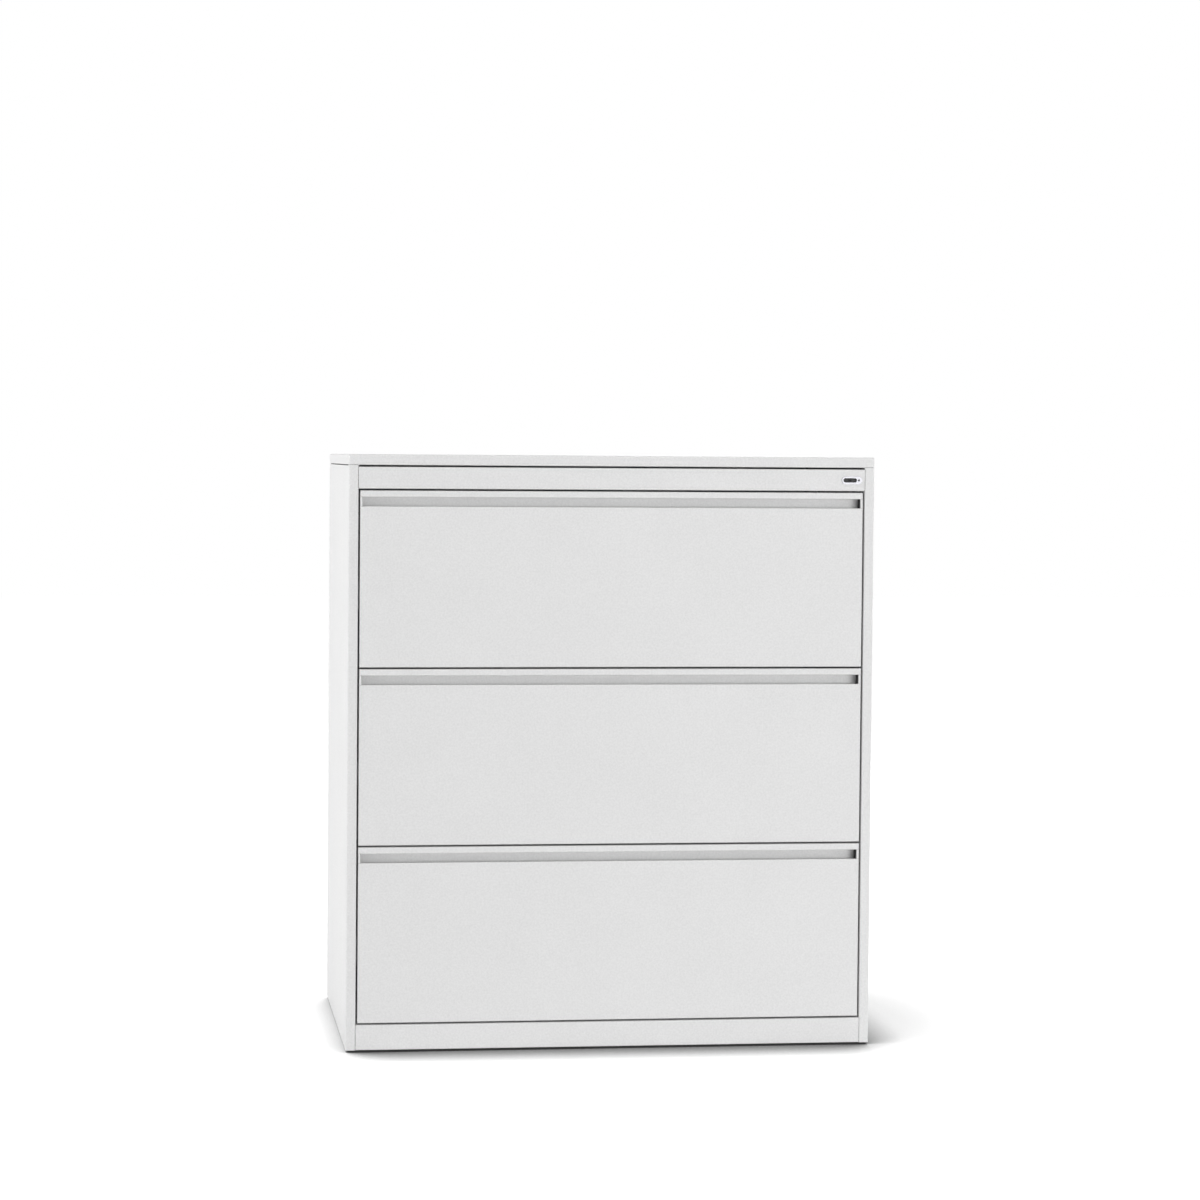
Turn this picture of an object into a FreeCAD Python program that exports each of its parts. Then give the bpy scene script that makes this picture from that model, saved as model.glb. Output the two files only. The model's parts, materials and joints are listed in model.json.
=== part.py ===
# Three-drawer lateral filing cabinet in folded sheet steel, in millimetres.
# +Z is up, the drawers open towards -Y, and the origin is on the floor under the middle of the case.

import FreeCAD
import Part
import math
import os
from FreeCAD import Vector

os.makedirs("parts", exist_ok=True)

# Outside of the case
width = 914.0
depth = 470.0
foot_lift = 4.0
plinth_height = 43.5
drawer_pitch = 304.8
drawer_names = ["bottom", "middle", "top"]
drawer_gap = 3.0
rail_height = 37.4
cover_gap = 3.0
cover_height = 17.9
post_width = 17.0

# Sheet steel of the case
case_sheet = 1.2
case_bend = 1.2
hidden_bend = 0.0
post_return = 25.0
rear_return = 14.0
side_top_flange = 22.0
side_seam = 1.2
side_seam_setback = 10.0
rail_depth = 35.0
plinth_top_flange = 30.0
plinth_bottom_flange = 15.0
rail_end_seam = 0.4
cover_edge_radius = 2.2
cover_return = 26.0
stiffener_height = 14.0
stiffener_crown = 40.0
stiffener_brim = 15.0
stiffener_end_room = 30.0
back_sheet = 1.0
back_bead_depth = 4.0
back_bead_width = 26.0
back_side_room = 0.3

# Base
base_top = 30.0
pan_flange = 18.0
channel_sheet = 1.5
channel_width = 60.0
channel_bottom = 9.0
channel_lip = 9.0
channel_end_room = 2.0
weld_nut_radius = 9.8
weld_nut_height = 8.0
glide_inset_x = 30.0
glide_inset_y = 45.0
stud_radius = 5.0
stud_top_room = 2.0
stud_hexagon_radius = 8.0
stud_hexagon_height = 2.0
thread_room = 0.15
foot_radius = 17.0
foot_top_radius = 12.0
foot_height = 6.0
round_sides = 24
foot_socket_depth = 4.0
weight_width = 780.0
weight_depth = 150.0
weight_height = 15.0
weight_rear_room = 30.0
weight_edge = 2.0

# Uprights and slides
upright_sheet = 1.5
upright_depth = 18.3
upright_crown = 30.0
upright_brim = 12.0
front_upright_setback = 42.0
rear_upright_setback = 55.0
upright_top_room = 15.0
slide_sheet = 1.2
slide_height = 46.0
slide_depth = 13.0
slide_lip = 6.5
slide_play = 0.35
slide_seat = 0.5
slide_front_room = 30.0
slide_rear_room = 22.0
slide_level = 120.0
slide_end_play = 0.5
stop_half_height = 8.0
hook_thickness = 2.0
hook_height = 12.0
hook_nose = 4.0
hook_reach = 4.0
hook_room = 0.3

# Drawer fronts
front_sheet = 1.0
front_bend = 0.8
front_edge_radius = 1.8
lip_height = 11.0
pull_height = 16.0
pull_depth = 19.0
pull_floor_drop = 3.0
hem_gap = 0.5
hem_bend = 0.2
lip_hem = 7.0
cap_width = 4.0
cap_room = 0.1
inner_sheet = 1.0
inner_flange = 14.0
inner_top_room = 1.5

# Drawer trays
tray_sheet = 1.0
tray_bend = 1.0
tray_rear_room = 49.0
tray_lift = 12.0
tray_height = 240.0
tray_flange = 10.0
tray_front_drop = 8.0
tray_side_room = 0.2
tray_bead_height = 3.0
tray_bead_width = 22.0
hang_rail_end_room = 7.5
hang_rail_sheet = 3.0
hang_rail_drop = 12.0
hang_rail_rise = 3.0
hang_rail_room = 0.3
tab_sheet = 1.5
tab_reach = 11.0
tab_height = 12.0
tab_setback = 14.0

# Lock
lock_inset = 40.0
lock_plug_offset = -3.5
lock_dot_offset = 12.0
lock_face_length = 36.0
lock_face_height = 13.5
lock_face_proud = 1.6
lock_body_length = 29.0
lock_body_height = 11.0
lock_body_depth = 8.0
lock_hole_room = 0.2
lock_well_length = 24.0
lock_well_height = 7.4
lock_well_depth = 4.0
lock_dot_radius = 1.1
lock_dot_depth = 1.2
lock_barrel_radius = 6.0
lock_barrel_end = 24.0
plug_radius = 3.4
plug_room = 0.05
keyway_length = 5.0
keyway_width = 1.2
keyway_depth = 8.0
cam_radius = 11.5
cam_thickness = 3.0
cam_room = 0.5
crank_radius = 8.0
crank_rest_angle = -45.0
crank_pin_radius = 2.5
crank_pin_past = 1.0
yoke_room = 1.5
yoke_slot_room = 0.45
yoke_height = 16.0
yoke_end = 4.0
bar_thickness = 3.0
bar_width = 8.0
bar_wall_room = 6.0
bar_bottom_level = 150.0
bar_lug_reach = 16.0
bar_lug_height = 10.0
lug_room = 0.7
guide_wall = 2.0
guide_height = 10.0
guide_room = 0.3
guide_drop = 110.0

# Levels and faces that follow from the sizes above
drawer_count = len(drawer_names)
half_width = width / 2
front_y = (lock_face_proud - depth) / 2
back_y = front_y + depth
post_inner = half_width - post_width
side_inner = half_width - case_sheet
plinth_top = foot_lift + plinth_height
first_front = plinth_top + drawer_gap
front_height = drawer_pitch - drawer_gap
rail_bottom = first_front + drawer_count * drawer_pitch
rail_top = rail_bottom + rail_height
cover_bottom = rail_top + cover_gap
height = cover_bottom + cover_height
upright_face = side_inner - upright_depth
slide_front = front_y + slide_front_room
slide_back = back_y - slide_rear_room
tray_half = upright_face - slide_depth - slide_seat
front_half = post_inner - drawer_gap
pull_wall = pull_depth + front_sheet
tray_front = front_y + pull_wall + inner_sheet
tray_rear = back_y - tray_rear_room
bar_y = front_y + lock_barrel_end + cam_room + cam_thickness + yoke_room
lock_x = half_width - lock_inset
plug_x = lock_x + lock_plug_offset
lock_z = (rail_bottom + rail_top) / 2
bar_outer = side_inner - bar_wall_room
bar_inner = bar_outer - bar_width
crank_lift = 2 * crank_radius * math.sin(math.radians(-crank_rest_angle))


def box(low, high):
    size = [b - a for a, b in zip(low, high)]
    return Part.makeBox(size[0], size[1], size[2], Vector(*low))


def mirrored(shape):
    return shape.mirror(Vector(0, 0, 0), Vector(1, 0, 0))


def save(shape, node):
    shape.exportStep("parts/" + node + ".step")


def direction(start, end):
    length = math.hypot(end[0] - start[0], end[1] - start[1])
    return ((end[0] - start[0]) / length, (end[1] - start[1]) / length)


def turn(points, index):
    before = direction(points[index - 1], points[index])
    after = direction(points[index], points[index + 1])
    across = before[0] * after[1] - before[1] * after[0]
    ahead = before[0] * after[0] + before[1] * after[1]
    return math.atan2(across, ahead)


def right_side(points, distance):
    """The same folded line, moved to the right of its direction of travel."""
    moved = []
    last = len(points) - 1
    for index, point in enumerate(points):
        before = direction(points[max(index - 1, 0)], points[max(index, 1)])
        after = direction(points[min(index, last - 1)], points[min(index + 1, last)])
        normal = (before[1] + after[1], -before[0] - after[0])
        scale = distance / (normal[0] * before[1] - normal[1] * before[0])
        moved.append((point[0] + normal[0] * scale, point[1] + normal[1] * scale))
    return moved


def bent_edges(points, radii, place):
    """Straight runs with a tangent arc at each bend, or a sharp corner where the radius is zero."""
    edges = []
    start = points[0]
    for index in range(1, len(points) - 1):
        corner = points[index]
        angle = turn(points, index)
        before = direction(points[index - 1], corner)
        after = direction(corner, points[index + 1])
        reach = radii[index] * math.tan(abs(angle) / 2)
        enter = (corner[0] - before[0] * reach, corner[1] - before[1] * reach)
        leave = (corner[0] + after[0] * reach, corner[1] + after[1] * reach)
        edges.append(Part.LineSegment(place(start), place(enter)).toShape())
        if radii[index]:
            inward = direction(corner, ((enter[0] + leave[0]) / 2, (enter[1] + leave[1]) / 2))
            bulge = radii[index] / math.cos(angle / 2) - radii[index]
            middle = (corner[0] + inward[0] * bulge, corner[1] + inward[1] * bulge)
            edges.append(Part.Arc(place(enter), place(middle), place(leave)).toShape())
        start = leave
    edges.append(Part.LineSegment(place(start), place(points[-1])).toShape())
    return edges


def fold(points, sheet, bends, place, along):
    """A folded sheet: points run along one face, and the sheet lies to the right of their direction.

    bends is the inside radius of every bend, or a list with one for each point. Zero folds it sharp.
    """
    count = len(points)
    inside = bends if isinstance(bends, list) else [bends] * count
    near = [0.0] * count
    far = [0.0] * count
    for index in range(1, count - 1):
        if inside[index]:
            left_turn = turn(points, index) > 0
            near[index] = inside[index] + (0 if left_turn else sheet)
            far[index] = inside[index] + (sheet if left_turn else 0)
    other = right_side(points, sheet)
    edges = bent_edges(points, near, place)
    edges.append(Part.LineSegment(place(points[-1]), place(other[-1])).toShape())
    edges += bent_edges(other[::-1], far[::-1], place)
    edges.append(Part.LineSegment(place(other[0]), place(points[0])).toShape())
    return Part.Face(Part.Wire(edges)).extrude(along)


def outline(points, along):
    corners = [Vector(*point) for point in points]
    return Part.Face(Part.makePolygon(corners + corners[:1])).extrude(along)


def obround(length, tall, x, y, z, thickness):
    """A plate with half-round ends, facing -Y, from y to y + thickness."""
    reach = length / 2 - tall / 2
    shape = box((x - reach, y, z - tall / 2), (x + reach, y + thickness, z + tall / 2))
    for side in (-1, 1):
        shape = shape.fuse(rod(tall / 2, x + side * reach, y, z, thickness))
    return shape.removeSplitter()


def rod(radius, x, y, z, length):
    return Part.makeCylinder(radius, length, Vector(x, y, z), Vector(0, 1, 0))


def post(radius, x, y, z, length):
    return Part.makeCylinder(radius, length, Vector(x, y, z), Vector(0, 0, 1))


def front_level(index):
    return first_front + index * drawer_pitch


def slide_z(index):
    return front_level(index) + slide_level


def upright_middles():
    front = front_y + front_upright_setback + upright_crown / 2
    rear = back_y - rear_upright_setback - upright_crown / 2
    return {"front": front, "rear": rear}


# Side panel with the front post and rear return folded from the same sheet. Behind the post, its top edge
# stays clear of the cover by an open seam.
def side_panel():
    plan = [
        (-post_inner, front_y + post_return),
        (-post_inner, front_y),
        (-half_width, front_y),
        (-half_width, back_y),
        (-half_width + rear_return, back_y),
    ]
    rise = cover_bottom - foot_lift
    place = lambda p: Vector(p[0], p[1], foot_lift)
    panel = fold(plan, case_sheet, case_bend, place, Vector(0, 0, rise))
    top = cover_bottom - side_seam
    seam = box(
        (-half_width, front_y + side_seam_setback, top),
        (-half_width + rear_return, back_y, cover_bottom),
    )
    flange = box(
        (-side_inner, front_y + post_return, top - case_sheet),
        (-half_width + side_top_flange, back_y - case_sheet - case_bend, top),
    )
    return panel.cut(seam).fuse(flange).removeSplitter()


def back_panel():
    face = back_y - case_sheet
    edge = side_inner - case_bend - back_side_room
    plan = [(-edge, face)]
    for middle in (-width / 6, width / 6):
        plan.append((middle - back_bead_width / 2, face))
        plan.append((middle - back_bead_width / 4, face - back_bead_depth))
        plan.append((middle + back_bead_width / 4, face - back_bead_depth))
        plan.append((middle + back_bead_width / 2, face))
    plan.append((edge, face))
    place = lambda p: Vector(p[0], p[1], foot_lift)
    return fold(plan, back_sheet, hidden_bend, place, Vector(0, 0, cover_bottom - foot_lift))


def top_cover():
    cap = box((-half_width, front_y, cover_bottom), (half_width, back_y, height))
    cap = cap.makeFillet(cover_edge_radius, cap.Edges)
    hollow = box(
        (-side_inner, front_y + case_sheet, cover_bottom + case_sheet),
        (side_inner, back_y - case_sheet, height - case_sheet),
    )
    mouth = box(
        (-half_width + cover_return, front_y + cover_return, cover_bottom),
        (half_width - cover_return, back_y - cover_return, cover_bottom + case_sheet),
    )
    return cap.cut(hollow).cut(mouth)


def top_stiffener():
    roof = height - case_sheet
    half = stiffener_crown / 2
    section = [
        (-half - stiffener_brim, roof),
        (-half, roof),
        (-half, roof - stiffener_height + case_sheet),
        (half, roof - stiffener_height + case_sheet),
        (half, roof),
        (half + stiffener_brim, roof),
    ]
    reach = half_width - stiffener_end_room
    place = lambda p: Vector(-reach, p[0], p[1])
    return fold(section, case_sheet, hidden_bend, place, Vector(2 * reach, 0, 0))


def top_front_rail():
    section = [
        (front_y + rail_depth, rail_bottom),
        (front_y, rail_bottom),
        (front_y, rail_top),
        (front_y + rail_depth, rail_top),
    ]
    reach = post_inner - rail_end_seam
    place = lambda p: Vector(-reach, p[0], p[1])
    rail = fold(section, case_sheet, case_bend, place, Vector(2 * reach, 0, 0))
    hole = obround(
        lock_body_length + 2 * lock_hole_room,
        lock_body_height + 2 * lock_hole_room,
        lock_x, front_y, lock_z, case_sheet,
    )
    return rail.cut(hole)


def base_front_rail():
    section = [
        (front_y + plinth_bottom_flange, foot_lift),
        (front_y, foot_lift),
        (front_y, plinth_top),
        (front_y + plinth_top_flange, plinth_top),
    ]
    reach = post_inner - rail_end_seam
    place = lambda p: Vector(-reach, p[0], p[1])
    return fold(section, case_sheet, case_bend, place, Vector(2 * reach, 0, 0))


def pan_ends():
    front = front_y + case_sheet
    rear = back_y - case_sheet - back_sheet - back_bead_depth
    return front, rear


def base_pan():
    front, rear = pan_ends()
    reach = post_inner - rail_end_seam
    section = [
        (front, base_top - pan_flange),
        (front, base_top),
        (rear, base_top),
        (rear, base_top - pan_flange),
    ]
    place = lambda p: Vector(-reach, p[0], p[1])
    return fold(section, case_sheet, case_bend, place, Vector(2 * reach, 0, 0))


def glide_places(side):
    x = side * (side_inner - glide_inset_x)
    return [(x, front_y + glide_inset_y), (x, back_y - glide_inset_y)]


def ring(sides, radius, x, y, z):
    """A level polygon with its corners on a circle."""
    corners = []
    for step in range(sides + 1):
        angle = 2 * math.pi * step / sides
        corners.append(Vector(x + radius * math.cos(angle), y + radius * math.sin(angle), z))
    return Part.makePolygon(corners)


def prism(sides, radius, x, y, z, tall):
    return Part.Face(ring(sides, radius, x, y, z)).extrude(Vector(0, 0, tall))


# Front-to-back channel that carries the base pan and two levelling glides
def base_channel():
    front = front_y + post_return + channel_end_room
    rear = pan_ends()[1] - case_sheet - channel_end_room
    top = base_top - case_sheet
    inner = -side_inner + channel_width
    section = [
        (inner, channel_bottom + channel_lip),
        (inner, channel_bottom),
        (-side_inner, channel_bottom),
        (-side_inner, top),
        (inner, top),
    ]
    place = lambda p: Vector(p[0], front, p[1])
    channel = fold(section, channel_sheet, hidden_bend, place, Vector(0, rear - front, 0))
    for x, y in glide_places(-1):
        nut = prism(6, weld_nut_radius, x, y, channel_bottom + channel_sheet, weld_nut_height)
        channel = channel.fuse(nut)
    for x, y in glide_places(-1):
        thread = post(stud_radius + thread_room, x, y, channel_bottom, channel_sheet + weld_nut_height)
        channel = channel.cut(thread)
    return channel


def glide_stud(x, y):
    bottom = foot_height - foot_socket_depth
    top = base_top - case_sheet - stud_top_room
    shank = prism(round_sides, stud_radius, x, y, bottom, top - bottom)
    hexagon = prism(6, stud_hexagon_radius, x, y, foot_height, stud_hexagon_height)
    return shank.fuse(hexagon).removeSplitter()


def glide_foot(x, y):
    sole = ring(round_sides, foot_radius, x, y, 0)
    crown = ring(round_sides, foot_top_radius, x, y, foot_height)
    foot = Part.makeLoft([sole, crown], True, True)
    socket_radius = stud_radius + thread_room
    socket = prism(round_sides, socket_radius, x, y, foot_height - foot_socket_depth, foot_socket_depth)
    return foot.cut(socket)


def counterweight():
    rear = pan_ends()[1] - weight_rear_room
    block = box(
        (-weight_width / 2, rear - weight_depth, base_top),
        (weight_width / 2, rear, base_top + weight_height),
    )
    upper = [edge for edge in block.Edges if edge.CenterOfMass.z > base_top + weight_edge]
    return block.makeChamfer(weight_edge, upper)


# Slotted hat-section upright, left hand, standing on the side panel's inner face
def upright(middle):
    crown = upright_depth - upright_sheet
    half = upright_crown / 2
    plan = [
        (0, middle - half - upright_brim),
        (0, middle - half + upright_sheet),
        (crown, middle - half + upright_sheet),
        (crown, middle + half - upright_sheet),
        (0, middle + half - upright_sheet),
        (0, middle + half + upright_brim),
    ]
    top = rail_top - upright_top_room
    place = lambda p: Vector(p[0] - side_inner, p[1], base_top)
    shape = fold(plan, upright_sheet, hidden_bend, place, Vector(0, 0, top - base_top))
    for index in range(drawer_count):
        level = slide_z(index)
        half_slot = hook_thickness / 2 + hook_room
        slot = box(
            (-upright_face - upright_sheet, middle - half_slot, level - hook_height / 2 - hook_room),
            (-upright_face, middle + half_slot, level + hook_height / 2 + hook_nose + hook_room),
        )
        shape = shape.cut(slot)
    return shape


# Telescopic slide, left hand: its three nested members
def slide_hook(middle, level):
    web = -upright_face
    tab = box(
        (web - hook_reach, middle - hook_thickness / 2, level - hook_height / 2),
        (web, middle + hook_thickness / 2, level + hook_height / 2),
    )
    nose = box(
        (web - hook_reach, middle - hook_thickness / 2, level - hook_height / 2 - hook_nose),
        (web - upright_sheet - hook_room, middle + hook_thickness / 2, level - hook_height / 2),
    )
    return tab.fuse(nose)


def channel_section(inset, lip):
    near = inset
    far = slide_depth - inset
    half = slide_height / 2 - inset
    return [(far, -half + lip), (far, -half), (near, -half), (near, half), (far, half), (far, half - lip)]


def slide_outer(index):
    level = slide_z(index)
    place = lambda p: Vector(p[0] - upright_face, slide_front, level + p[1])
    length = slide_back - slide_front
    member = fold(channel_section(0, slide_lip), slide_sheet, hidden_bend, place, Vector(0, length, 0))
    stop = box(
        (-upright_face + slide_sheet, slide_back - slide_sheet, level - stop_half_height),
        (-upright_face + slide_depth - slide_sheet, slide_back, level + stop_half_height),
    )
    member = member.fuse(stop)
    for middle in upright_middles().values():
        member = member.fuse(slide_hook(middle, level))
    return member.removeSplitter()


def slide_middle(index):
    level = slide_z(index)
    inset = slide_sheet + slide_play
    place = lambda p: Vector(p[0] - upright_face, slide_front, level + p[1])
    length = slide_back - slide_sheet - slide_end_play - slide_front
    section = channel_section(inset, slide_lip)
    return fold(section, slide_sheet, hidden_bend, place, Vector(0, length, 0))


def slide_inner(index):
    level = slide_z(index)
    inset = 2 * (slide_sheet + slide_play)
    brim = slide_depth - inset - slide_sheet
    half = slide_height / 2 - inset
    crown = slide_height / 2 - inset - slide_lip - slide_play
    web = slide_depth + slide_seat - slide_sheet
    section = [(brim, half), (brim, crown), (web, crown), (web, -crown), (brim, -crown), (brim, -half)]
    section = section[::-1]
    place = lambda p: Vector(p[0] - upright_face, slide_front, level + p[1])
    return fold(section, slide_sheet, hidden_bend, place, Vector(0, tray_rear - slide_front, 0))


# Drawer front: one sheet folded into lip, recessed pull, face and flanges
def front_section(bottom):
    top = bottom + front_height
    hem = 2 * front_sheet + hem_gap
    floor = top - lip_height - pull_height - pull_floor_drop - front_sheet
    edge = top - lip_height - pull_height
    points = [
        (hem, top - lip_height + lip_hem),
        (hem, top - lip_height),
        (0, top - lip_height),
        (0, top),
        (pull_wall, top),
        (pull_wall, floor),
        (front_sheet + hem_gap, floor),
        (front_sheet + hem_gap, edge - front_sheet),
        (front_sheet, edge - front_sheet),
        (front_sheet, bottom + front_sheet),
        (pull_wall, bottom + front_sheet),
    ]
    lip_bends = [0, hem_bend, hem_bend, front_bend, hidden_bend]
    face_bends = [hidden_bend, hidden_bend, hem_bend, hem_bend, front_bend, 0]
    return points, lip_bends + face_bends


def plan_block(bottom, top):
    """The front's plan with rounded vertical edges, as a solid block."""
    block = box((-front_half, front_y, bottom), (front_half, front_y + pull_wall, top))
    corners = []
    for edge in block.Edges:
        upright_edge = abs(edge.tangentAt(edge.FirstParameter).z) > 0.5
        if upright_edge and edge.CenterOfMass.y < front_y + pull_wall / 2:
            corners.append(edge)
    return block.makeFillet(front_edge_radius, corners)


def drawer_front(index):
    bottom = front_level(index)
    edge = bottom + front_height - lip_height - pull_height
    points, bends = front_section(bottom)
    place = lambda p: Vector(-front_half, front_y + p[0], p[1])
    skin = fold(points, front_sheet, bends, place, Vector(2 * front_half, 0, 0))
    skin = skin.common(plan_block(bottom, bottom + front_height))
    plan = [
        (front_half, front_y + pull_wall),
        (front_half, front_y),
        (-front_half, front_y),
        (-front_half, front_y + pull_wall),
    ]
    low = bottom + front_sheet + front_bend
    high = edge - front_sheet - pull_floor_drop - front_bend
    place = lambda p: Vector(p[0], p[1], low)
    ends = fold(plan, front_sheet, front_edge_radius - front_sheet, place, Vector(0, 0, high - low))
    return skin.fuse(ends).removeSplitter()


def pull_end_cap(index):
    top = front_level(index) + front_height
    hem = 2 * front_sheet + hem_gap
    lip = top - lip_height - cap_room
    edge = top - lip_height - pull_height + cap_room
    roof = top - front_sheet
    floor = top - lip_height - pull_height - pull_floor_drop
    points = [
        (cap_room, lip),
        (hem + cap_room, lip),
        (hem + cap_room, roof),
        (pull_depth - front_bend, roof),
        (pull_depth, roof - front_bend),
        (pull_depth, floor + front_bend),
        (pull_depth - front_bend, floor),
        (hem + cap_room + front_bend, floor),
        (hem + cap_room, floor + front_bend),
        (hem + cap_room, edge),
        (cap_room, edge),
    ]
    section = [(-front_half, front_y + y, z) for y, z in points]
    cap = outline(section, Vector(cap_width, 0, 0))
    return cap.common(plan_block(floor, top))


def drawer_inner_front(index):
    bottom = front_level(index) + front_sheet
    top = front_level(index) + front_height - inner_top_room
    half = front_half - front_sheet
    back = front_y + pull_wall
    plate = box((-half, back, bottom), (half, back + inner_sheet, top))
    foot = box((-half, back - inner_flange, bottom), (half, back, bottom + inner_sheet))
    return plate.fuse(foot).removeSplitter()


def tray_floor(index):
    return front_level(index) + tray_lift


# Drawer bottom and back, folded from one sheet with pressed beads across the bottom
def drawer_tray(index):
    floor = tray_floor(index)
    back_top = floor + tray_height - 2 * tray_sheet - tray_bend
    section = [(tray_rear + tray_flange, back_top), (tray_rear, back_top), (tray_rear, floor)]
    length = tray_rear - tray_front
    for share in (3, 2, 1):
        middle = tray_front + length * share / 4
        section.append((middle + tray_bead_width / 2, floor))
        section.append((middle + tray_bead_width / 4, floor + tray_bead_height))
        section.append((middle - tray_bead_width / 4, floor + tray_bead_height))
        section.append((middle - tray_bead_width / 2, floor))
    edge = tray_front + tray_sheet
    section += [(edge, floor), (edge, floor - tray_front_drop)]
    half = tray_half - tray_sheet - hidden_bend - tray_side_room
    place = lambda p: Vector(-half, p[0], p[1])
    return fold(section, tray_sheet, hidden_bend, place, Vector(2 * half, 0, 0))


# Left side of a drawer, with flanges along its top, under the bottom sheet and at the front
def drawer_side(index):
    low = tray_floor(index) - tray_sheet
    top = tray_floor(index) + tray_height
    inner = tray_half - tray_flange
    section = [(-inner, low), (-tray_half, low), (-tray_half, top), (-inner, top)]
    bends = [0, hidden_bend, tray_bend, 0]
    place = lambda p: Vector(p[0], tray_front, p[1])
    side = fold(section, tray_sheet, bends, place, Vector(0, tray_rear - tray_front, 0))
    flange = box(
        (-tray_half + tray_sheet, tray_front, tray_floor(index) + tray_sheet + tray_bead_height),
        (-inner, tray_front + tray_sheet, top - tray_sheet),
    )
    notch = box(
        (-tray_half + tray_sheet, tray_front, low),
        (-inner, tray_front + tray_sheet + tray_side_room, low + tray_sheet),
    )
    return side.fuse(flange).cut(notch).removeSplitter()


# Tab on the right side of a drawer that the lock bar's lug catches
def lock_tab(index):
    low = lug_level(index) + bar_lug_height + lug_room
    near = tray_front + tab_setback
    return box((tray_half, near, low), (tray_half + tab_reach, near + tab_sheet, low + tab_height))


def drawer_sides(index):
    left = drawer_side(index)
    right = mirrored(left).fuse(lock_tab(index)).removeSplitter()
    return Part.makeCompound([left, right])


def hang_rail(index, y):
    top = tray_floor(index) + tray_height
    seat = tray_half - tray_bend - tray_sheet
    inner = tray_half - tray_flange - hang_rail_room
    points = [
        (-seat, top),
        (-inner, top),
        (-inner, top - hang_rail_drop),
        (inner, top - hang_rail_drop),
        (inner, top),
        (seat, top),
        (seat, top + hang_rail_rise),
        (-seat, top + hang_rail_rise),
    ]
    section = [(x, y - hang_rail_sheet / 2, z) for x, z in points]
    return outline(section, Vector(0, hang_rail_sheet, 0))


def hang_rails(index):
    places = (tray_front + hang_rail_end_room, tray_rear - hang_rail_end_room)
    return Part.makeCompound([hang_rail(index, y) for y in places])


# Lock: face and barrel, turning plug, cam with its crank pin
def lock_housing():
    face_y = front_y - lock_face_proud
    face = obround(lock_face_length, lock_face_height, lock_x, face_y, lock_z, lock_face_proud)
    body = obround(lock_body_length, lock_body_height, lock_x, front_y, lock_z, lock_body_depth)
    barrel_length = lock_barrel_end - lock_body_depth
    barrel = rod(lock_barrel_radius, plug_x, front_y + lock_body_depth, lock_z, barrel_length)
    housing = face.fuse(body).fuse(barrel)
    well = obround(lock_well_length, lock_well_height, plug_x, face_y, lock_z, lock_well_depth)
    dot = rod(lock_dot_radius, lock_x + lock_dot_offset, face_y, lock_z, lock_dot_depth)
    bore = rod(plug_radius + plug_room, plug_x, face_y, lock_z, lock_barrel_end + lock_face_proud)
    return housing.cut(well).cut(dot).cut(bore).removeSplitter()


def lock_plug():
    start = front_y - lock_face_proud + lock_well_depth
    end = front_y + lock_barrel_end + cam_room + cam_thickness
    plug = rod(plug_radius, plug_x, start, lock_z, end - start)
    keyway = box(
        (plug_x - keyway_length / 2, start, lock_z - keyway_width / 2),
        (plug_x + keyway_length / 2, start + keyway_depth, lock_z + keyway_width / 2),
    )
    return plug.cut(keyway)


def crank_place(angle):
    turned = math.radians(angle)
    return plug_x + crank_radius * math.cos(turned), lock_z + crank_radius * math.sin(turned)


def lock_cam():
    start = front_y + lock_barrel_end + cam_room
    disc = rod(cam_radius, plug_x, start, lock_z, cam_thickness)
    pin_x, pin_z = crank_place(crank_rest_angle)
    pin_end = bar_y + bar_thickness + crank_pin_past
    pin = rod(crank_pin_radius, pin_x, start, pin_z, pin_end - start)
    bore = rod(plug_radius + plug_room, plug_x, start, lock_z, cam_thickness)
    return disc.fuse(pin).cut(bore).removeSplitter()


def lug_level(index):
    return slide_z(index) + slide_height


# Lock bar: a flat vertical bar with a slotted yoke at the top and one lug for each drawer
def lock_bar():
    pin_z = crank_place(crank_rest_angle)[1]
    top = pin_z + yoke_height / 2
    bar = box((bar_inner, bar_y, bar_bottom_level), (bar_outer, bar_y + bar_thickness, top))
    near = crank_place(crank_rest_angle)[0] - crank_pin_radius - yoke_slot_room
    far = plug_x + crank_radius + crank_pin_radius + yoke_slot_room
    yoke = box((near - yoke_end, bar_y, pin_z - yoke_height / 2), (bar_inner, bar_y + bar_thickness, top))
    bar = bar.fuse(yoke)
    for index in range(drawer_count):
        level = lug_level(index)
        lug = box(
            (bar_inner - bar_lug_reach, bar_y, level),
            (bar_inner, bar_y + bar_thickness, level + bar_lug_height),
        )
        bar = bar.fuse(lug)
    slot_height = 2 * (crank_pin_radius + yoke_slot_room)
    slot = obround(far - near, slot_height, (near + far) / 2, bar_y, pin_z, bar_thickness)
    return bar.cut(slot).removeSplitter()


def lock_bar_guide(index):
    level = lug_level(index) - guide_drop
    rear = front_y + front_upright_setback
    low = (bar_inner - guide_room - guide_wall, bar_y - guide_room - guide_wall, level)
    high = (bar_outer + guide_room + guide_wall, rear, level + guide_height)
    hole_low = (bar_inner - guide_room, bar_y - guide_room, level)
    hole_high = (bar_outer + guide_room, bar_y + bar_thickness + guide_room, level + guide_height)
    return box(low, high).cut(box(hole_low, hole_high))


def pair(name, left):
    save(left, name + "_left")
    save(mirrored(left), name + "_right")


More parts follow.
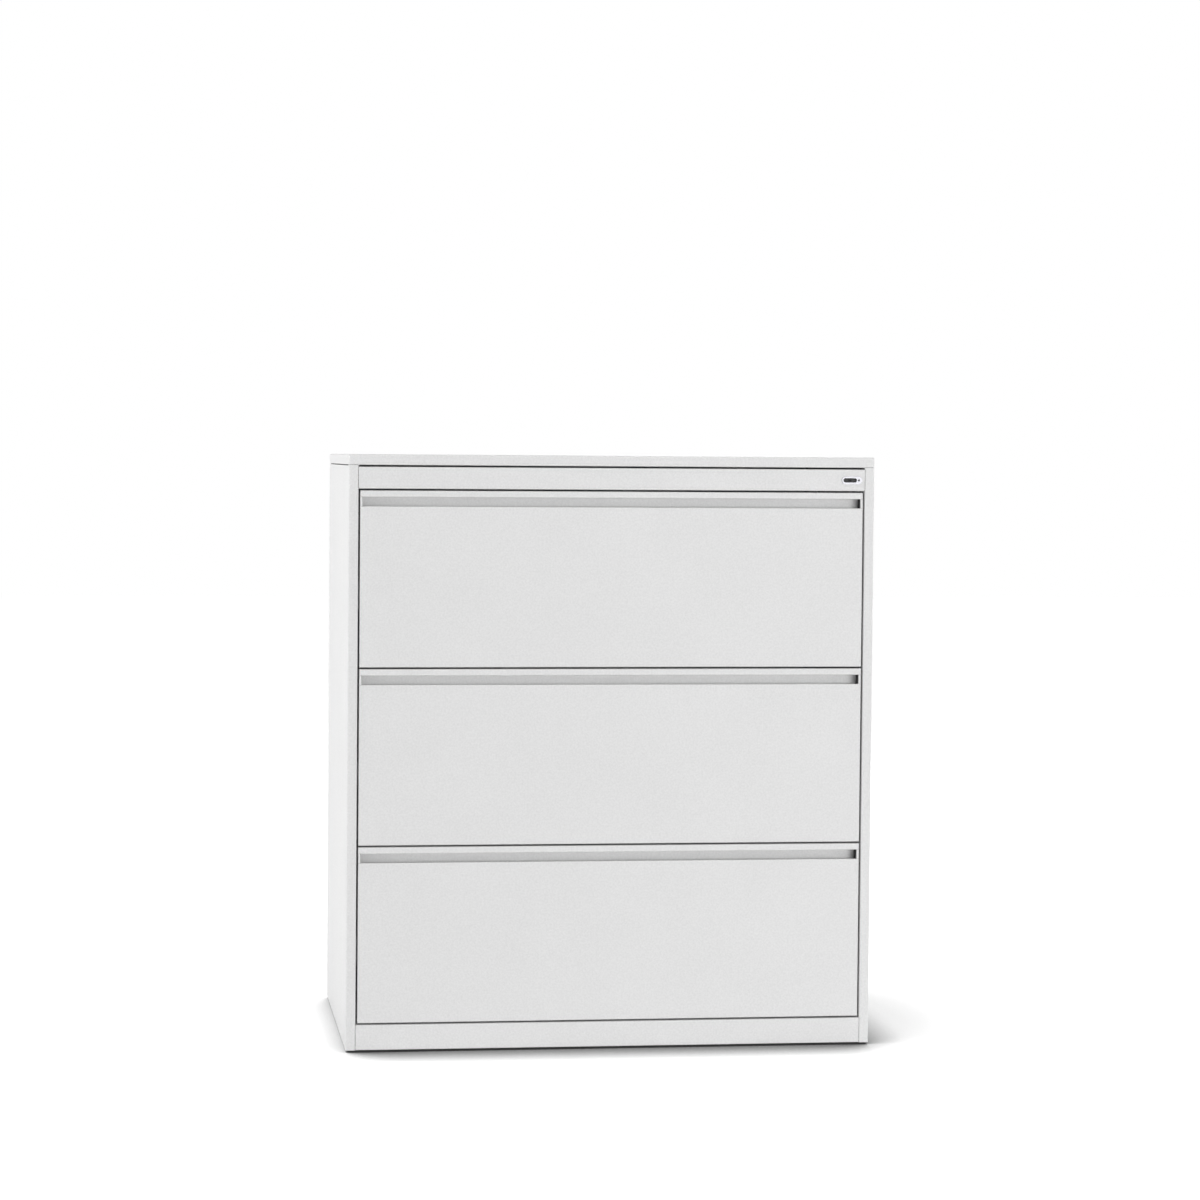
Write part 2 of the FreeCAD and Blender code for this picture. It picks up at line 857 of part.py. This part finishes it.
def build_case():
    pair("side_panel", side_panel())
    save(back_panel(), "back_panel")
    save(top_cover(), "top_cover")
    save(top_stiffener(), "top_stiffener")
    save(top_front_rail(), "top_front_rail")
    save(base_front_rail(), "base_front_rail")
    save(base_pan(), "base_pan")
    pair("base_channel", base_channel())
    save(counterweight(), "counterweight")
    for place, middle in upright_middles().items():
        pair(place + "_upright", upright(middle))
    glides = glide_places(-1) + glide_places(1)
    save(Part.makeCompound([glide_stud(x, y) for x, y in glides]), "glide_studs")
    save(Part.makeCompound([glide_foot(x, y) for x, y in glides]), "glide_feet")


def build_drawer(index, name):
    pair("slide_outer_" + name, slide_outer(index))
    pair("slide_middle_" + name, slide_middle(index))
    pair("slide_inner_" + name, slide_inner(index))
    save(drawer_front(index), "drawer_front_" + name)
    cap = pull_end_cap(index)
    save(Part.makeCompound([cap, mirrored(cap)]), "pull_end_caps_" + name)
    save(drawer_inner_front(index), "drawer_inner_front_" + name)
    save(drawer_tray(index), "drawer_tray_" + name)
    save(drawer_sides(index), "drawer_sides_" + name)
    save(hang_rails(index), "hang_rails_" + name)


def build_lock():
    save(lock_housing(), "lock_housing")
    save(lock_plug(), "lock_plug")
    save(lock_cam(), "lock_cam")
    save(lock_bar(), "lock_bar")
    guides = [lock_bar_guide(index) for index in range(drawer_count)]
    save(Part.makeCompound(guides), "lock_bar_guides")


build_case()
for drawer_index, drawer_name in enumerate(drawer_names):
    build_drawer(drawer_index, drawer_name)
build_lock()
print("lock bar lift", round(crank_lift, 3), "mm over a quarter turn")
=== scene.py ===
# Three-drawer lateral filing cabinet: finishes, fastenings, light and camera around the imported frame.

import json
import math

import bmesh
import bpy
from mathutils import Matrix, Vector


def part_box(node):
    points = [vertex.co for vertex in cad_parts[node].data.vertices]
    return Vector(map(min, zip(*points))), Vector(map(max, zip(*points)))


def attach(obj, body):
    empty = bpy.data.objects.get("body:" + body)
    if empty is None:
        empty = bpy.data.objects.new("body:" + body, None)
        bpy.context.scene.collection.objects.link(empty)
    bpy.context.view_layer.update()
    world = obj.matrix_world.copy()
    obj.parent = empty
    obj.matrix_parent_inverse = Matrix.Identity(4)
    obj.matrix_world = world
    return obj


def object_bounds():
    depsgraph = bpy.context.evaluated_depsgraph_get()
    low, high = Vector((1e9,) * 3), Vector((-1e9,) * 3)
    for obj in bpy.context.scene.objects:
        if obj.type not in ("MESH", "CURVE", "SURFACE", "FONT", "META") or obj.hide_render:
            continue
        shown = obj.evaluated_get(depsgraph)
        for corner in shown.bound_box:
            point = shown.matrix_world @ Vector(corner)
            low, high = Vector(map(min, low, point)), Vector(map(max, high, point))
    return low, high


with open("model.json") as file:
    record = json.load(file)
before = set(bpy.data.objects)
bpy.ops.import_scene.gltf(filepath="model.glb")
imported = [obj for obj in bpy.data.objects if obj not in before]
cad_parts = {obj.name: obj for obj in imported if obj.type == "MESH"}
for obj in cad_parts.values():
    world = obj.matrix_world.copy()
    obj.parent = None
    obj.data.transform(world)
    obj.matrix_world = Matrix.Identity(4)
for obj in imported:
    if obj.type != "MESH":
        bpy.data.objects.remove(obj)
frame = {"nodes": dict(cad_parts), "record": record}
cad_low, cad_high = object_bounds()
nodes = frame["nodes"]

MM = 0.001
DRAWERS = ("bottom", "middle", "top")
SIDES = {"left": -1, "right": 1}

# Sockets of a Mix node that mixes colours. Several share one name, so they are taken by number.
MIX_SHARE, MIX_FROM, MIX_TO = 0, 6, 7
MIX_RESULT = 2


# Shader tools

def linear(colour):
    """An sRGB hex colour as the linear colour that a shader socket takes."""
    channels = [int(colour[start:start + 2], 16) / 255 for start in (1, 3, 5)]
    curve = [c / 12.92 if c <= 0.04045 else ((c + 0.055) / 1.055) ** 2.4 for c in channels]
    return (*curve, 1.0)


def add_node(tree, kind, settings=None, sockets=None, links=None, stops=()):
    """Adds one shader node, with its own settings, constant sockets, linked sockets and colour stops."""
    node = tree.nodes.new("ShaderNode" + kind)
    for name, value in (settings or {}).items():
        setattr(node, name, value)
    for name, value in (sockets or {}).items():
        node.inputs[name].default_value = value
    for name, source in (links or {}).items():
        tree.links.new(source, node.inputs[name])
    for index, (position, colour) in enumerate(stops):
        node.color_ramp.elements[index].position = position
        node.color_ramp.elements[index].color = linear(colour)
    return node


def start_material(name, sockets):
    """A material with one principled shader and the part's own coordinates, in metres."""
    material = bpy.data.materials.new(name)
    material.use_nodes = True
    tree = material.node_tree
    tree.nodes.clear()
    shader = add_node(tree, "BsdfPrincipled", sockets=sockets)
    add_node(tree, "OutputMaterial", links={"Surface": shader.outputs["BSDF"]})
    place = add_node(tree, "TexCoord").outputs["Object"]
    return material, tree, shader, place


def per_metre(size_mm):
    """The texture scale that gives a pattern of this size."""
    return 1 / (size_mm * MM)


# Finishes

def powder_coat_satin_white():
    # Polyester powder sprayed on degreased steel and baked. It gives an even satin white, a fine orange
    # peel that breaks up the highlight along each fold, and a barely visible cloudiness from the spray.
    # The real peel is under a millimetre across, and is drawn coarser so that it shows from a step away.
    # The colour goes towards near black where other surfaces stand within a few millimetres, which is
    # painted shade in the gaps round the drawers and along the inner corners of the pulls.
    material, tree, shader, place = start_material(
        "powder_coat_satin_white", {"IOR": 1.5, "Roughness": 0.56, "Specular IOR Level": 0.32}
    )
    peel_size = 3.2
    peel_depth = 0.06
    cloud_size = 90.0
    cloud_share = 0.14
    corner_reach = 4.5
    peel = add_node(
        tree, "TexNoise", sockets={"Scale": per_metre(peel_size), "Detail": 3.0, "Roughness": 0.55},
        links={"Vector": place},
    )
    cloud = add_node(
        tree, "TexNoise", sockets={"Scale": per_metre(cloud_size), "Detail": 2.0},
        links={"Vector": place},
    )
    speckle = add_node(
        tree, "Mix", settings={"data_type": "FLOAT"}, sockets={"Factor": cloud_share},
        links={"A": peel.outputs["Fac"], "B": cloud.outputs["Fac"]},
    )
    tone = add_node(
        tree, "ValToRGB", links={"Fac": speckle.outputs["Result"]},
        stops=((0.3, "#DEDEDE"), (0.7, "#E9E9E9")),
    )
    # Painted shade: the open share of sky within corner_reach mixes the colour towards near black in tight
    # gaps.
    openness = add_node(
        tree, "AmbientOcclusion", settings={"samples": 6}, sockets={"Distance": corner_reach * MM}
    )
    unshaded_share = add_node(
        tree, "MapRange", sockets={"From Min": 0.1, "From Max": 0.5},
        links={"Value": openness.outputs["AO"]},
    )
    tone_with_painted_shade = add_node(
        tree, "Mix", settings={"data_type": "RGBA"}, sockets={MIX_FROM: linear("#1A1B1B")},
        links={MIX_SHARE: unshaded_share.outputs["Result"], MIX_TO: tone.outputs["Color"]},
    )
    relief = add_node(
        tree, "Bump", sockets={"Strength": 0.35, "Distance": peel_depth * MM},
        links={"Height": peel.outputs["Fac"]},
    )
    tree.links.new(tone_with_painted_shade.outputs[MIX_RESULT], shader.inputs["Base Color"])
    tree.links.new(relief.outputs["Normal"], shader.inputs["Normal"])
    return material


def moulded_plastic_white():
    # Injection-moulded plastic matched to the paint. It is a shade duller than the sheet beside it, with
    # the fine spark-eroded grain of its mould.
    material, tree, shader, place = start_material(
        "moulded_plastic_white", {"IOR": 1.5, "Roughness": 0.55}
    )
    grain_size = 0.9
    grain_depth = 0.03
    grain = add_node(
        tree, "TexNoise", sockets={"Scale": per_metre(grain_size), "Detail": 2.0}, links={"Vector": place}
    )
    tone = add_node(
        tree, "ValToRGB", links={"Fac": grain.outputs["Fac"]}, stops=((0.0, "#DDDDDD"), (1.0, "#E4E4E4"))
    )
    relief = add_node(
        tree, "Bump", sockets={"Strength": 0.3, "Distance": grain_depth * MM},
        links={"Height": grain.outputs["Fac"]},
    )
    tree.links.new(tone.outputs["Color"], shader.inputs["Base Color"])
    tree.links.new(relief.outputs["Normal"], shader.inputs["Normal"])
    return material


def zinc_plate_bright():
    # Rolled strip with a bright passivated zinc plate. It gives a pale metal with long faint rolling lines
    # and cloudy patches where the passivation is thicker.
    material, tree, shader, place = start_material("zinc_plate_bright", {"Metallic": 1.0})
    line_size = 1.2
    line_stretch = 60.0
    line_depth = 0.02
    patch_size = 22.0
    stretched = add_node(
        tree, "Mapping", sockets={"Scale": (1.0, 1.0 / line_stretch, 1.0)}, links={"Vector": place}
    )
    lines = add_node(
        tree, "TexNoise", sockets={"Scale": per_metre(line_size), "Detail": 2.0},
        links={"Vector": stretched.outputs["Vector"]},
    )
    patches = add_node(
        tree, "TexNoise", sockets={"Scale": per_metre(patch_size), "Detail": 4.0}, links={"Vector": place}
    )
    tone = add_node(
        tree, "ValToRGB", links={"Fac": patches.outputs["Fac"]},
        stops=((0.3, "#AEB1B3"), (0.7, "#C6C8C9")),
    )
    gloss = add_node(
        tree, "MapRange", sockets={"To Min": 0.24, "To Max": 0.46},
        links={"Value": patches.outputs["Fac"]},
    )
    relief = add_node(
        tree, "Bump", sockets={"Strength": 0.25, "Distance": line_depth * MM},
        links={"Height": lines.outputs["Fac"]},
    )
    tree.links.new(tone.outputs["Color"], shader.inputs["Base Color"])
    tree.links.new(gloss.outputs["Result"], shader.inputs["Roughness"])
    tree.links.new(relief.outputs["Normal"], shader.inputs["Normal"])
    return material


def satin_chrome():
    # Die casting with a satin chrome plate: bright, with a soft-edged reflection and faint polishing lines.
    material, tree, shader, place = start_material("satin_chrome", {"Metallic": 1.0})
    shader.inputs["Base Color"].default_value = linear("#9A9A9E")
    scratch_size = 0.5
    scratch_stretch = 12.0
    stretched = add_node(
        tree, "Mapping", sockets={"Scale": (1.0 / scratch_stretch, 1.0, 1.0)}, links={"Vector": place}
    )
    scratches = add_node(
        tree, "TexNoise", sockets={"Scale": per_metre(scratch_size), "Detail": 2.0},
        links={"Vector": stretched.outputs["Vector"]},
    )
    gloss = add_node(
        tree, "MapRange", sockets={"To Min": 0.4, "To Max": 0.52},
        links={"Value": scratches.outputs["Fac"]},
    )
    tree.links.new(gloss.outputs["Result"], shader.inputs["Roughness"])
    return material


def blackened_zinc_casting():
    # Lock plug in black-oxide zinc: nearly black, worn a little lighter in patches by keys.
    material, tree, shader, place = start_material(
        "blackened_zinc_casting", {"Metallic": 0.6, "Roughness": 0.5}
    )
    wear_size = 1.5
    wear = add_node(
        tree, "TexNoise", sockets={"Scale": per_metre(wear_size), "Detail": 4.0}, links={"Vector": place}
    )
    tone = add_node(
        tree, "ValToRGB", links={"Fac": wear.outputs["Fac"]}, stops=((0.4, "#1A1A1B"), (0.75, "#3A3A3C"))
    )
    tree.links.new(tone.outputs["Color"], shader.inputs["Base Color"])
    return material


def moulded_nylon_black():
    # Glass-filled nylon: dull black with the slight mottle of the fibres at its skin.
    material, tree, shader, place = start_material("moulded_nylon_black", {"IOR": 1.53, "Roughness": 0.6})
    mottle_size = 1.1
    mottle_depth = 0.04
    mottle = add_node(
        tree, "TexNoise", sockets={"Scale": per_metre(mottle_size), "Detail": 3.0}, links={"Vector": place}
    )
    tone = add_node(
        tree, "ValToRGB", links={"Fac": mottle.outputs["Fac"]}, stops=((0.0, "#161617"), (1.0, "#2C2C2E"))
    )
    relief = add_node(
        tree, "Bump", sockets={"Strength": 0.3, "Distance": mottle_depth * MM},
        links={"Height": mottle.outputs["Fac"]},
    )
    tree.links.new(tone.outputs["Color"], shader.inputs["Base Color"])
    tree.links.new(relief.outputs["Normal"], shader.inputs["Normal"])
    return material


def cast_iron_primed():
    # Sand-cast iron under a thin grey primer: pitted skin with rust-brown hints in the low spots.
    material, tree, shader, place = start_material("cast_iron_primed", {"Roughness": 0.8})
    pit_size = 3.0
    pit_depth = 0.4
    pits = add_node(
        tree, "TexNoise", sockets={"Scale": per_metre(pit_size), "Detail": 5.0, "Roughness": 0.65},
        links={"Vector": place},
    )
    tone = add_node(
        tree, "ValToRGB", links={"Fac": pits.outputs["Fac"]}, stops=((0.35, "#4A4440"), (0.6, "#6A6B6C"))
    )
    relief = add_node(
        tree, "Bump", sockets={"Strength": 0.6, "Distance": pit_depth * MM},
        links={"Height": pits.outputs["Fac"]},
    )
    tree.links.new(tone.outputs["Color"], shader.inputs["Base Color"])
    tree.links.new(relief.outputs["Normal"], shader.inputs["Normal"])
    return material


FINISHES = {
    "white_powder_coat": powder_coat_satin_white(),
    "zinc_plated_steel": zinc_plate_bright(),
    "white_moulded_plastic": moulded_plastic_white(),
    "chromed_lock_face": satin_chrome(),
    "dark_zinc_casting": blackened_zinc_casting(),
    "black_nylon": moulded_nylon_black(),
    "cast_counterweight": cast_iron_primed(),
}


def finish_frame():
    """Gives each node of the frame the finish that its slot in the record names."""
    for subpart in frame["record"]["subparts"]:
        part = nodes[subpart["node"]]
        part.data.materials.clear()
        part.data.materials.append(FINISHES[subpart["material_slot"]])


def add_piece(name, mesh, body, finish):
    """Puts a mesh in the scene as a piece that rides on a body and has one of the finishes."""
    sharp_from = math.radians(35)
    bmesh.ops.recalc_face_normals(mesh, faces=mesh.faces)
    shape = bpy.data.meshes.new(name)
    mesh.to_mesh(shape)
    mesh.free()
    shape.shade_smooth()
    shape.set_sharp_from_angle(angle=sharp_from)
    shape.materials.append(FINISHES[finish])
    piece = bpy.data.objects.new(name, shape)
    bpy.context.scene.collection.objects.link(piece)
    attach(piece, body)


# Shapes

def skin(mesh, rings, loop=False):
    """Joins each ring of points to the next, and closes the last on the first or each end with a face."""
    following = rings[1:] + rings[:1] if loop else rings[1:]
    for near, far in zip(rings, following):
        for step in range(len(near)):
            after = (step + 1) % len(near)
            mesh.faces.new((near[step], near[after], far[after], far[step]))
    if not loop:
        mesh.faces.new(rings[0][::-1])
        mesh.faces.new(rings[-1])


def lathe(mesh, profile, placing):
    """Turns a profile about the Z of a placing. Its points are radius, height and, for a polygon, sides."""
    segments = 24
    rings = []
    for radius, rise, *sides in profile:
        ring = []
        for step in range(segments):
            angle = 2 * math.pi * step / segments
            reach = radius
            if sides:
                half_side = math.pi / sides[0]
                reach = radius * math.cos(half_side) / math.cos(angle % (2 * half_side) - half_side)
            point = Vector((reach * math.cos(angle), reach * math.sin(angle), rise))
            ring.append(mesh.verts.new(placing @ point))
        rings.append(ring)
    skin(mesh, rings)


def obround_ring(mesh, middle, length, tall, y):
    """A ring of points round an obround that lies along X, in a plane of constant Y."""
    segments = 48
    radius = tall / 2
    straight = (length - tall) / 2
    ring = []
    for step in range(segments):
        angle = 2 * math.pi * (step + 0.5) / segments
        shift = straight if math.cos(angle) > 0 else -straight
        x = middle.x + shift + radius * math.cos(angle)
        ring.append(mesh.verts.new((x, y, middle.z + radius * math.sin(angle))))
    return ring


def rounded_ring(mesh, x, low, high, corner, inset):
    """A ring of points round a rectangle with round corners, in a plane of constant X."""
    corner_steps = 4
    centres = (
        (high.y - corner, high.z - corner),
        (low.y + corner, high.z - corner),
        (low.y + corner, low.z + corner),
        (high.y - corner, low.z + corner),
    )
    reach = corner - inset
    ring = []
    for quarter, (y, z) in enumerate(centres):
        for step in range(corner_steps + 1):
            angle = math.pi / 2 * (quarter + step / corner_steps)
            ring.append(mesh.verts.new((x, y + reach * math.cos(angle), z + reach * math.sin(angle))))
    return ring


# Fastenings and joints of the case

def fasten(name, profile, places, facing, body):
    """One piece made of a zinc-plated head at each place, standing out along facing."""
    turn = Vector(facing).to_track_quat("Z", "Y").to_matrix().to_4x4()
    mesh = bmesh.new()
    for place in places:
        lathe(mesh, profile, Matrix.Translation(place) @ turn)
    add_piece(name, mesh, body, "zinc_plated_steel")


def back_rivets():
    """The domed blind rivets that hold the back panel, with the broken mandrel in the middle of each."""
    radius = 4.2 * MM
    rise = 1.1 * MM
    mandrel = 1.3 * MM
    dip = 0.4 * MM
    hollow_share = 0.9
    tip_share = 0.5
    tip_dip_share = 0.4
    dome_steps = 5
    profile = [(radius, 0.0)]
    for step in range(1, dome_steps + 1):
        angle = math.acos(mandrel / radius) * step / dome_steps
        profile.append((radius * math.cos(angle), rise * math.sin(angle)))
    crown = profile[-1][1]
    profile.append((mandrel * hollow_share, crown - dip))
    profile.append((mandrel * tip_share, crown - dip * tip_dip_share))
    inset = 6.0 * MM
    end_room = 45.0 * MM
    count = 7
    low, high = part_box("back_panel")
    places = []
    for side, sign in SIDES.items():
        edge = sign * max(abs(corner.x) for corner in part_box("side_panel_" + side))
        for step in range(count):
            level = low.z + end_room + (high.z - low.z - 2 * end_room) * step / (count - 1)
            places.append(Vector((edge - sign * inset, cad_high.y, level)))
    fasten("back_rivets", profile, places, (0, 1, 0), "cabinet")


def slide_screws():
    """The low socket screws that hold each drawer's sides to its slides, seen from inside the drawer."""
    radius = 5.0 * MM
    rise = 1.6 * MM
    socket = 2.2 * MM
    depth = 1.1 * MM
    hexagon = 6
    profile = [
        (radius, 0.0),
        (radius, rise * 0.35),
        (radius * 0.85, rise * 0.8),
        (radius * 0.55, rise),
        (socket, rise, hexagon),
        (socket * 0.95, rise - depth, hexagon),
    ]
    sheet = 1.0 * MM
    shares = (0.12, 0.5, 0.88)
    for drawer in DRAWERS:
        low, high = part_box("drawer_sides_" + drawer)
        for side, sign in SIDES.items():
            level = sum(corner.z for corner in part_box("slide_inner_%s_%s" % (drawer, side))) / 2
            x = sign * (high.x - sheet)
            places = [Vector((x, low.y + (high.y - low.y) * share, level)) for share in shares]
            name = "slide_screws_%s_%s" % (drawer, side)
            fasten(name, profile, places, (-sign, 0, 0), "drawer_" + drawer)


def paint_seams():
    """The paint that bridges the butt joints of posts and rails, sunk a little below their faces."""
    sunk = 0.1 * MM
    bead = 0.4 * MM
    end_room = 1.6 * MM
    overlap = 0.05 * MM
    steps = 6
    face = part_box("side_panel_left")[0].y
    mesh = bmesh.new()
    for rail in ("top_front_rail", "base_front_rail"):
        low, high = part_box(rail)
        for edge, sign in ((low.x, -1), (high.x, 1)):
            rings = []
            for level in (low.z + end_room, high.z - end_room):
                ring = []
                for step in range(steps + 1):
                    angle = math.pi * step / steps
                    x = edge + sign * bead / 2 - (bead / 2 + overlap) * math.cos(angle)
                    y = face + sunk + bead * (1 - math.sin(angle))
                    ring.append(mesh.verts.new((x, y, level)))
                rings.append(ring)
            skin(mesh, rings)
    add_piece("paint_seams", mesh, "cabinet", "white_powder_coat")


def cover_seals():
    """The black moulded strips under the cover, which close the open seam above each side panel."""
    seam = 1.2 * MM
    room = 0.02 * MM
    setback = 8.0 * MM
    wide = 9.0 * MM
    front_room = 27.0 * MM
    rear_room = 4.0 * MM
    end_taper = 0.4 * MM
    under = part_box("top_cover")[0].z
    tall = seam - 2 * room
    mesh = bmesh.new()
    for side, sign in SIDES.items():
        low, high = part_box("side_panel_" + side)
        edge = sign * max(abs(low.x), abs(high.x))
        middle = Vector((edge - sign * (setback + wide / 2), 0.0, under - seam / 2))
        near = low.y + front_room
        far = high.y - rear_room
        skin(mesh, [
            obround_ring(mesh, middle, wide - 2 * end_taper, tall / 2, near),
            obround_ring(mesh, middle, wide, tall, near + end_taper),
            obround_ring(mesh, middle, wide, tall, far - end_taper),
            obround_ring(mesh, middle, wide - 2 * end_taper, tall / 2, far),
        ])
    add_piece("cover_seals", mesh, "cabinet", "black_nylon")


# Trim of the lock and the pulls

def lock_liner():
    """The black moulded cup that lines the lock's well round the plug, and the index pin beside it."""
    well_length = 24.0 * MM
    well_height = 7.4 * MM
    room = 0.05 * MM
    wall = 0.3 * MM
    floor_rise = 0.35 * MM
    edge_drop = 0.25 * MM
    bore = 6.7 * MM
    pin_offset = 15.5 * MM
    pin_radius = 1.9 * MM
    pin_rise = 0.5 * MM
    low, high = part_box("lock_plug")
    middle = (low + high) / 2
    floor = low.y
    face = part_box("lock_housing")[0].y
    outer = (well_length - 2 * room, well_height - 2 * room)
    inner = (outer[0] - 2 * wall, outer[1] - 2 * wall)
    mesh = bmesh.new()
    skin(mesh, [
        obround_ring(mesh, middle, bore, bore, floor),
        obround_ring(mesh, middle, bore, bore, floor - floor_rise),
        obround_ring(mesh, middle, *inner, floor - floor_rise),
        obround_ring(mesh, middle, *inner, face + edge_drop + wall),
        obround_ring(mesh, middle, *outer, face + edge_drop),
        obround_ring(mesh, middle, *outer, floor),
    ], loop=True)
    dome = [(pin_radius, 0.0), (pin_radius * 0.9, pin_rise * 0.6), (pin_radius * 0.4, pin_rise)]
    placing = Matrix.Translation((middle.x + pin_offset, face, middle.z))
    lathe(mesh, dome, placing @ Matrix.Rotation(math.pi / 2, 4, "X"))
    add_piece("lock_liner", mesh, "cabinet", "black_nylon")


def pull_end_dark_plates():
    """Black plates on the inner faces of each pull's end caps, which draw a dark upright line at its far
    end.
    """
    cap_width = 4.0 * MM
    hem = 2.5 * MM
    room = 0.4 * MM
    thickness = 0.6 * MM
    rim = 0.35 * MM
    corner = 1.6 * MM
    for drawer in DRAWERS:
        low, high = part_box("pull_end_caps_" + drawer)
        plate_low = low + Vector((0.0, hem + room, room))
        plate_high = high - Vector((0.0, room, room))
        mesh = bmesh.new()
        for sign in SIDES.values():
            face = sign * (high.x - cap_width)
            skin(mesh, [
                rounded_ring(mesh, face, plate_low, plate_high, corner, 0.0),
                rounded_ring(mesh, face - sign * (thickness - rim), plate_low, plate_high, corner, 0.0),
                rounded_ring(mesh, face - sign * thickness, plate_low, plate_high, corner, rim),
            ])
        add_piece("pull_end_dark_plates_" + drawer, mesh, "drawer_" + drawer, "black_nylon")


# Studio

def seen_directly(tree):
    """One for what is seen, straight, in a reflection or through glass, and zero for other light."""
    path = add_node(tree, "LightPath")
    mirrored = add_node(
        tree, "Math", settings={"operation": "MAXIMUM"},
        links={0: path.outputs["Is Glossy Ray"], 1: path.outputs["Is Transmission Ray"]},
    )
    shown = add_node(
        tree, "Math", settings={"operation": "MAXIMUM"},
        links={0: path.outputs["Is Camera Ray"], 1: mirrored.outputs[0]},
    )
    return shown.outputs[0]


def white_world():
    """A white backdrop that is seen at full strength, and lights the cabinet at a lower level."""
    light_level = 0.3
    world = bpy.data.worlds.new("white_studio")
    world.use_nodes = True
    tree = world.node_tree
    tree.nodes.clear()
    white = (1.0, 1.0, 1.0, 1.0)
    light = add_node(tree, "Background", sockets={"Color": white, "Strength": light_level})
    backdrop = add_node(tree, "Background", sockets={"Color": white, "Strength": 1.0})
    mixed = add_node(
        tree, "MixShader",
        links={0: seen_directly(tree), 1: light.outputs[0], 2: backdrop.outputs[0]},
    )
    add_node(tree, "OutputWorld", links={"Surface": mixed.outputs[0]})
    bpy.context.scene.world = world


def open_sky(tree, reach, lean, dark, clear, least):
    """The share of light left by what stands within reach, on the side that the normal leans to.

    It goes from least, where the open share of the sky is dark or under, to one, where clear or over.
    """
    normal = add_node(tree, "CombineXYZ", sockets=dict(zip("XYZ", lean)))
    sky = add_node(
        tree, "AmbientOcclusion", settings={"samples": 16}, sockets={"Distance": reach},
        links={"Normal": normal.outputs[0]},
    )
    share = add_node(
        tree, "MapRange", sockets={"From Min": dark, "From Max": clear, "To Min": least},
        links={"Value": sky.outputs["AO"]},
    )
    return share.outputs["Result"]


def paper_floor():
    # Seamless white paper: it bounces light as paper does, and is seen lighter, so that it meets the
    # white backdrop without an edge. It keeps the cabinet's shadow, which is deepest at the cabinet's
    # foot, falls a little forwards and fades slowly to the right.
    half = 14.0
    bounce = linear("#F2F2F2")
    shade = (0.02, 0.02, 0.02, 1.0)
    lit = (0.55, 0.55, 0.55, 1.0)
    glow = 1.53
    mesh = bpy.data.meshes.new("paper_floor")
    corners = [(-half, -half, 0), (half, -half, 0), (half, half, 0), (-half, half, 0)]
    mesh.from_pydata(corners, [], [(0, 1, 2, 3)])
    floor = bpy.data.objects.new("paper_floor", mesh)
    bpy.context.scene.collection.objects.link(floor)
    material = bpy.data.materials.new("seamless_white_paper")
    material.use_nodes = True
    tree = material.node_tree
    tree.nodes.clear()
    dull = add_node(tree, "BsdfDiffuse", sockets={"Color": bounce})
    foot_shadow = open_sky(tree, reach=0.12, lean=(-0.2, 0.5, 1.0), dark=0.3, clear=0.86, least=0.0)
    side_shadow = open_sky(tree, reach=0.3, lean=(-0.9, -0.25, 0.4), dark=0.5, clear=0.95, least=0.64)
    light_left = add_node(
        tree, "Math", settings={"operation": "MULTIPLY"}, links={0: foot_shadow, 1: side_shadow}
    )
    tone = add_node(
        tree, "Mix", settings={"data_type": "RGBA"}, sockets={MIX_FROM: shade, MIX_TO: lit},
        links={MIX_SHARE: light_left.outputs[0]},
    )
    paper = tone.outputs[MIX_RESULT]
    lifted = add_node(tree, "BsdfDiffuse", links={"Color": paper})
    glowing = add_node(tree, "Emission", sockets={"Strength": glow}, links={"Color": paper})
    shown = add_node(tree, "AddShader", links={0: lifted.outputs[0], 1: glowing.outputs[0]})
    mixed = add_node(
        tree, "MixShader", links={0: seen_directly(tree), 1: dull.outputs[0], 2: shown.outputs[0]}
    )
    add_node(tree, "OutputMaterial", links={"Surface": mixed.outputs[0]})
    mesh.materials.append(material)


def softbox(name, place, aim, wide, tall, watts):
    """An oval area lamp at a place, turned to what it is aimed at."""
    lamp = bpy.data.lights.new(name, "AREA")
    lamp.shape = "ELLIPSE"
    lamp.size = wide
    lamp.size_y = tall
    lamp.energy = watts
    box = bpy.data.objects.new(name, lamp)
    box.location = place
    box.rotation_euler = (Vector(aim) - Vector(place)).to_track_quat("-Z", "Y").to_euler()
    bpy.context.scene.collection.objects.link(box)


def studio_lamps():
    """A broad key from the front right, a lamp for the left side, and fills right, above and behind."""
    middle = (cad_low + cad_high) / 2
    softbox("side_left", place=(-3.6, -0.55, 1.7), aim=middle, wide=2.0, tall=2.0, watts=70)
    softbox("side_right", place=(3.6, 0.9, 1.7), aim=middle, wide=2.0, tall=2.0, watts=34)
    softbox("key_right", place=(3.0, -6.0, 0.78), aim=middle, wide=4.0, tall=2.2, watts=197)
    softbox("overhead", place=(0.0, -0.9, 3.6), aim=middle, wide=2.0, tall=2.0, watts=20)
    softbox("back_fill", place=(1.8, 4.2, 2.0), aim=middle, wide=2.2, tall=2.2, watts=72)


def photo_camera():
    """The photograph's view: a long lens left of the cabinet, level with its top, shifted to the right."""
    place = (-0.80, -4.746, 1.0283)
    yaw = math.radians(5.888)
    pitch = math.radians(-1.642)
    roll = math.radians(0.381)
    lens = bpy.data.cameras.new("photo_camera")
    lens.sensor_width = 36.0
    lens.lens = 79.87
    lens.shift_x = 0.15
    lens.shift_y = -0.06
    camera = bpy.data.objects.new("photo_camera", lens)
    aim = Matrix.Rotation(-yaw, 4, "Z") @ Matrix.Rotation(math.radians(90) + pitch, 4, "X")
    camera.matrix_world = Matrix.Translation(place) @ aim @ Matrix.Rotation(roll, 4, "Z")
    bpy.context.scene.collection.objects.link(camera)
    bpy.context.scene.camera = camera


finish_frame()
back_rivets()
slide_screws()
paint_seams()
cover_seals()
lock_liner()
pull_end_dark_plates()
white_world()
paper_floor()
studio_lamps()
photo_camera()
bpy.context.scene.view_settings.view_transform = "Standard"
